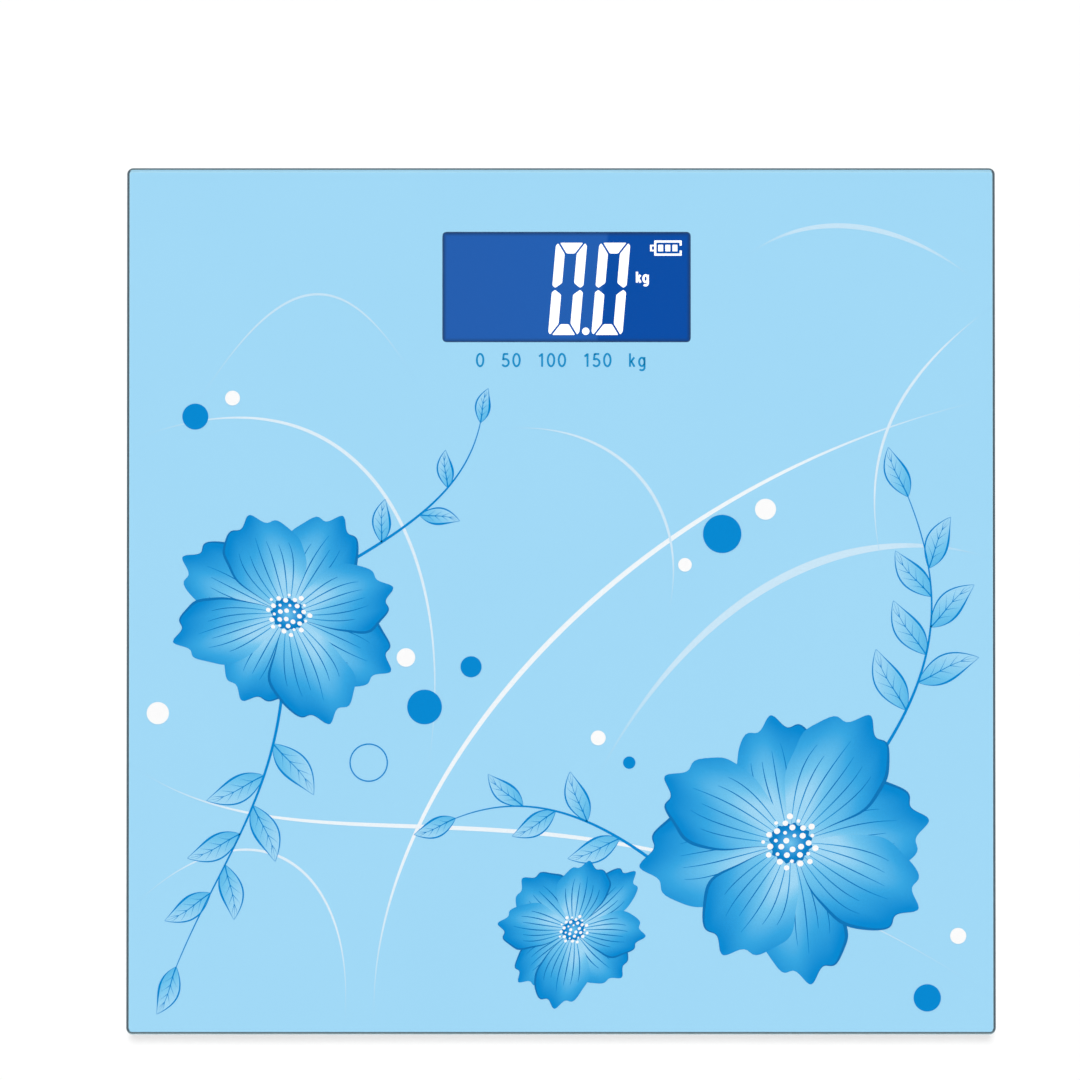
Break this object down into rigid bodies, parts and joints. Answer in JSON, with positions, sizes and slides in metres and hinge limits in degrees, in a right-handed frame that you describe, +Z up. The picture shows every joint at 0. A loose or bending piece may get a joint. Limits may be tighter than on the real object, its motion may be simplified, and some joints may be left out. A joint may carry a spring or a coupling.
{
  "type": "digital bathroom scale",
  "caption": "Flat square glass-topped bathroom scale with a light blue floral print, a blue digital display near one edge, load-cell feet and a battery housing underneath.",
  "frame": {"origin": "on the floor, under the middle of the glass platform", "axes": "+Z up, +X to the reader's right, +Y to the back edge, where the display is"},
  "size_m": [0.28, 0.28, 0.0235],
  "materials": {
    "clear_glass": "polished tempered glass",
    "print": "printed film, light blue",
    "gasket": "matte",
    "display_blue": "polariser film",
    "cell_glass": "display glass",
    "acrylic": "clear moulding",
    "white_plastic": "satin",
    "board": "solder mask",
    "lamp": "lamp package",
    "zebra": "soft",
    "black_plastic": "matte",
    "grey_plastic": "satin",
    "zinc_steel": "zinc plated",
    "foam_tape": "foam",
    "shell_plastic": "fine texture",
    "battery": "plain jacket",
    "spring_steel": "nickel plated",
    "wire": "insulation",
    "silicone": "cured bead",
    "cell_steel": "stamped",
    "pad_rubber": "matte"
  },
  "bodies": {
    "platform": {"glass_platform": "clear_glass", "print_film": "print", "display_gasket": "gasket", "front_polariser": "display_blue", "lcd_front_glass": "cell_glass", "lcd_rear_glass": "cell_glass", "rear_polariser": "display_blue", "light_guide": "acrylic", "reflector": "white_plastic", "led_board": "board", "backlight_leds": "lamp", "zebra_strips": "zebra", "lcd_holder": "white_plastic", "circuit_board": "board", "chip_cover": "black_plastic", "board_parts": "black_plastic", "unit_switch": "black_plastic", "board_screws": "zinc_steel", "housing_tape": "foam_tape", "housing_frame": "shell_plastic", "housing_shell": "shell_plastic", "housing_screws": "zinc_steel", "battery_front": "battery", "battery_back": "battery", "plus_contact": "spring_steel", "minus_contact": "spring_steel", "bridge_contact": "spring_steel", "battery_springs": "spring_steel", "battery_wires": "wire", "base_tapes": "foam_tape", "gauge_covers": "silicone", "base_front_left": "shell_plastic", "base_front_right": "shell_plastic", "base_back_left": "shell_plastic", "base_back_right": "shell_plastic", "cell_front_left": "cell_steel", "cell_front_right": "cell_steel", "cell_back_left": "cell_steel", "cell_back_right": "cell_steel", "wires_front_left": "wire", "wires_front_right": "wire", "wires_back_left": "wire", "wires_back_right": "wire", "side_duct_left": "shell_plastic", "side_duct_right": "shell_plastic", "back_duct_left": "shell_plastic", "back_duct_right": "shell_plastic"},
    "foot_front_left": {"foot_front_left": "shell_plastic", "pad_front_left": "pad_rubber"},
    "foot_front_right": {"foot_front_right": "shell_plastic", "pad_front_right": "pad_rubber"},
    "foot_back_left": {"foot_back_left": "shell_plastic", "pad_back_left": "pad_rubber"},
    "foot_back_right": {"foot_back_right": "shell_plastic", "pad_back_right": "pad_rubber"},
    "unit_button": {"unit_button": "grey_plastic", "switch_plunger": "white_plastic"},
    "battery_cover": {"battery_cover": "shell_plastic"}
  },
  "joints": [
    {"name": "foot_front_left_play", "type": "slide", "parent": "platform", "child": "foot_front_left", "axis": [0, 0, 1], "range_m": [-0.00065, 0]},
    {"name": "foot_front_right_play", "type": "slide", "parent": "platform", "child": "foot_front_right", "axis": [0, 0, 1], "range_m": [-0.00065, 0]},
    {"name": "foot_back_left_play", "type": "slide", "parent": "platform", "child": "foot_back_left", "axis": [0, 0, 1], "range_m": [-0.00065, 0]},
    {"name": "foot_back_right_play", "type": "slide", "parent": "platform", "child": "foot_back_right", "axis": [0, 0, 1], "range_m": [-0.00065, 0]},
    {"name": "unit_button_press", "type": "slide", "parent": "platform", "child": "unit_button", "axis": [0, 0, 1], "range_m": [0, 0.0004], "stiffness_N_per_m": 900, "springref_m": -0.0004},
    {"name": "battery_cover_slide", "type": "slide", "parent": "platform", "child": "battery_cover", "axis": [0, -1, 0], "range_m": [0, 0.026]}
  ]
}
